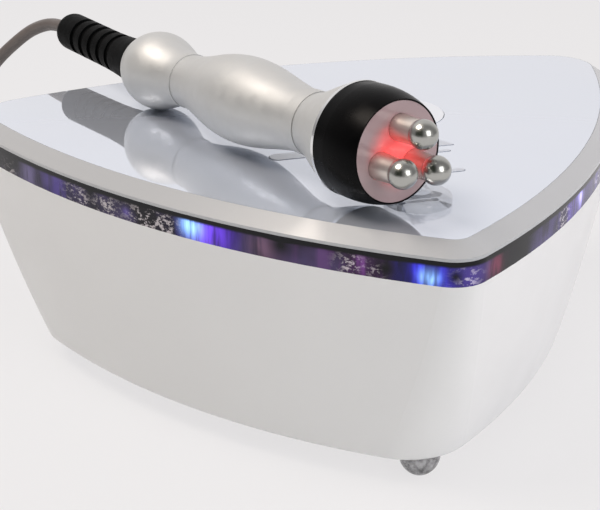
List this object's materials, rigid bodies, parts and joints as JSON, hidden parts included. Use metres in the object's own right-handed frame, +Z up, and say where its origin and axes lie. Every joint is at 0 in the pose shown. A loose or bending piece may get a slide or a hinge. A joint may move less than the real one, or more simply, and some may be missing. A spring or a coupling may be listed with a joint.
{
  "type": "rf facial device",
  "caption": "Three-cornered tabletop facial care unit with a light band, flush buttons, and a cabled handpiece with ball electrodes resting on a clear holder.",
  "frame": {"origin": "on the table under the middle of the base and handpiece together, in the base's mirror plane", "axes": "+X along the long rear edge to the right seen from the front, +Y towards the rear connectors, +Z up; the front corner points along -Y"},
  "size_m": [0.3018, 0.4312, 0.1565],
  "materials": {
    "white_shell": "glossy pearl white",
    "underside": "matt",
    "band": "clear smoked",
    "silver_trim": "satin silver white",
    "top_panel": "high gloss",
    "steel": "zinc plated",
    "board": "solder resist",
    "lamp": "clear lamp body",
    "red_lamp": "clear lamp body",
    "core_steel": "laminated",
    "copper_wire": "enamelled wire",
    "can": "sleeved",
    "sink": "extruded",
    "former": "moulded",
    "chip": "moulded epoxy",
    "terminal": "moulded",
    "switch": "moulded",
    "key_grey": "glossy, faintly tinted",
    "key_mark": "glossy, tinted",
    "clear": "clear acrylic",
    "dark_plate": "fine texture",
    "socket_metal": "nickel plated",
    "black_plastic": "moulded",
    "red_rocker": "moulded",
    "foot_rubber": "soft",
    "pearl": "pearl silver",
    "pearl_ring": "satin silver",
    "gloss_black": "high gloss",
    "chrome_rim": "polished",
    "lens_red": "milky diffuser",
    "carrier": "moulded",
    "polished": "mirror polished",
    "boot_rubber": "satin",
    "cable_grey": "satin jacket",
    "tie": "nylon"
  },
  "bodies": {
    "base": {"housing": "white_shell", "bottom_plate": "underside", "light_band": "band", "bezel": "silver_trim", "panel": "top_panel", "case_screws": "steel", "plate_screws": "steel", "led_board": "board", "band_leds": "lamp", "power_board": "board", "output_board": "board", "main_board": "board", "board_screws": "steel", "transformer_core": "core_steel", "transformer_winding": "copper_wire", "capacitors": "can", "heat_sink": "sink", "output_coil": "copper_wire", "coil_former": "former", "output_chips": "chip", "processor": "chip", "board_chips": "chip", "board_plugs": "terminal", "key_board": "board", "key_switches": "switch", "cradle": "clear", "rear_plate": "dark_plate", "rear_screws": "steel", "handpiece_socket": "socket_metal", "mains_inlet": "black_plastic", "rocker_frame": "black_plastic", "feet": "foot_rubber", "cable_free": "cable_grey", "cable_coil": "cable_grey", "cable_tail": "cable_grey", "cable_plug": "black_plastic", "coil_tie": "tie"},
    "handpiece": {"tail_shell": "pearl", "main_shell": "pearl", "neck_ring": "pearl_ring", "flare": "pearl", "rim_ring": "chrome_rim", "collar": "gloss_black", "lens": "lens_red", "electrode_carrier": "carrier", "head_board": "board", "head_leds": "red_lamp", "electrode_top": "polished", "electrode_right": "polished", "electrode_left": "polished", "boot": "boot_rubber"},
    "rocker_body": {"rocker": "red_rocker"},
    "ring_button": {"ring_key": "key_grey"},
    "centre_button": {"centre_key": "key_grey"},
    "up_button": {"up_key": "key_mark"},
    "line_button": {"line_key": "key_mark"},
    "low_button": {"low_key": "key_mark"},
    "oval_button": {"oval_key": "key_grey"}
  },
  "joints": [
    {"name": "handpiece_lift", "type": "slide", "parent": "base", "child": "handpiece", "axis": [0, 0, 1], "range_m": [0, 0.06]},
    {"name": "ring_press", "type": "slide", "parent": "base", "child": "ring_button", "axis": [0, 0, -1], "range_m": [0, 0.0006], "stiffness_N_per_m": 2000},
    {"name": "centre_press", "type": "slide", "parent": "base", "child": "centre_button", "axis": [0, 0, -1], "range_m": [0, 0.0006], "stiffness_N_per_m": 2000},
    {"name": "up_press", "type": "slide", "parent": "base", "child": "up_button", "axis": [0, 0, -1], "range_m": [0, 0.0006], "stiffness_N_per_m": 2000},
    {"name": "line_press", "type": "slide", "parent": "base", "child": "line_button", "axis": [0, 0, -1], "range_m": [0, 0.0006], "stiffness_N_per_m": 2000},
    {"name": "low_press", "type": "slide", "parent": "base", "child": "low_button", "axis": [0, 0, -1], "range_m": [0, 0.0006], "stiffness_N_per_m": 2000},
    {"name": "oval_press", "type": "slide", "parent": "base", "child": "oval_button", "axis": [0, 0, -1], "range_m": [0, 0.0006], "stiffness_N_per_m": 2000},
    {"name": "rocker_tilt", "type": "hinge", "parent": "base", "child": "rocker_body", "pos_m": [0, 0.08001, 0.044], "axis": [1, 0, 0], "range_deg": [-16, 0]}
  ]
}
